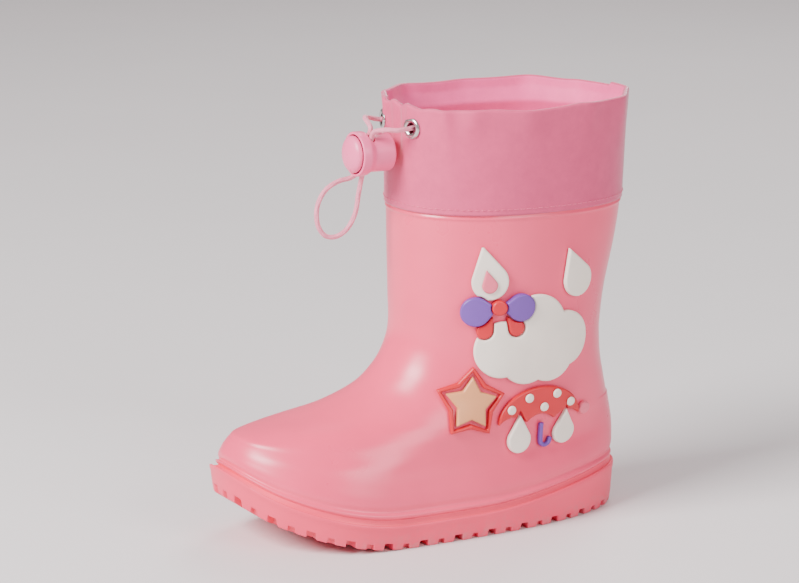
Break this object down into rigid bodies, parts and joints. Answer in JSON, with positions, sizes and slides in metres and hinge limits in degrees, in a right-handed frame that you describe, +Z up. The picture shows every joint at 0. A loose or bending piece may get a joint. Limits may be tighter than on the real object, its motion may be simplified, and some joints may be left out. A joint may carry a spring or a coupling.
{
  "type": "rubber rain boot",
  "caption": "Child's waterproof ankle boot with a lugged sole, a cloth collar closed by an elastic drawcord and cord lock, and a raised picture patch.",
  "frame": {"origin": "on the ground, under the middle of the boot's bounding box without the free cord and its lock", "axes": "+X towards the toe, +Y towards the wearer's left, which is this left boot's outer side, +Z up"},
  "size_m": [0.196, 0.0872, 0.193],
  "materials": {
    "pvc_upper": "satin",
    "pvc_sole": "satin",
    "collar_nylon": "soft sheen",
    "lining_knit": "matte",
    "insole_foam": "matte",
    "insole_cloth": "matte",
    "eyelet_nickel": "polished",
    "cord_elastic": "woven",
    "lock_plastic": "satin",
    "spring_steel": "bright",
    "patch_cream": "satin",
    "patch_red": "satin",
    "patch_purple": "satin",
    "patch_tan": "satin",
    "patch_pink": "satin"
  },
  "bodies": {
    "boot": {"boot_shell": "pvc_upper", "outsole": "pvc_sole", "sock_lining": "lining_knit", "insole_foam": "insole_foam", "insole_cover": "insole_cloth", "collar_fabric": "collar_nylon", "eyelet_outer": "eyelet_nickel", "eyelet_inner": "eyelet_nickel", "eyelet_washer_outer": "eyelet_nickel", "eyelet_washer_inner": "eyelet_nickel", "drawcord_in_collar": "cord_elastic", "patch_cloud": "patch_cream", "patch_drop_front": "patch_cream", "patch_drop_rear": "patch_cream", "patch_drop_glint": "patch_pink", "patch_small_drop_front": "patch_cream", "patch_small_drop_rear": "patch_cream", "patch_bow_knot": "patch_red", "patch_bow_loop_left": "patch_purple", "patch_bow_loop_right": "patch_purple", "patch_bow_tail_left": "patch_red", "patch_bow_tail_right": "patch_red", "patch_canopy": "patch_red", "patch_hook": "patch_purple", "patch_star_border": "patch_red", "patch_star": "patch_tan", "patch_ball": "patch_pink", "patch_dot_1": "patch_cream", "patch_dot_2": "patch_cream", "patch_dot_3": "patch_cream", "patch_dot_4": "patch_cream", "patch_dot_5": "patch_cream"},
    "cord_tail": {"drawcord_loop": "cord_elastic"},
    "cord_lock": {"cord_lock_body": "lock_plastic", "cord_lock_spring": "spring_steel"},
    "lock_button": {"cord_lock_button": "lock_plastic"}
  },
  "joints": [
    {"name": "cord_tail_swing", "type": "hinge", "parent": "boot", "child": "cord_tail", "pos_m": [0.0163, 0, 0.1815], "axis": [0, 1, 0], "range_deg": [-60, 6]},
    {"name": "cord_lock_slide", "type": "slide", "parent": "cord_tail", "child": "cord_lock", "axis": [0, -0.4259, -0.9048], "range_m": [-0.001, 0.008], "deforming": ["drawcord_loop"]},
    {"name": "button_press", "type": "slide", "parent": "cord_lock", "child": "lock_button", "axis": [-1, 0, 0], "range_m": [0, 0.0035], "stiffness_N_per_m": 600, "springref_m": -0.002, "deforming": ["cord_lock_spring"]}
  ]
}
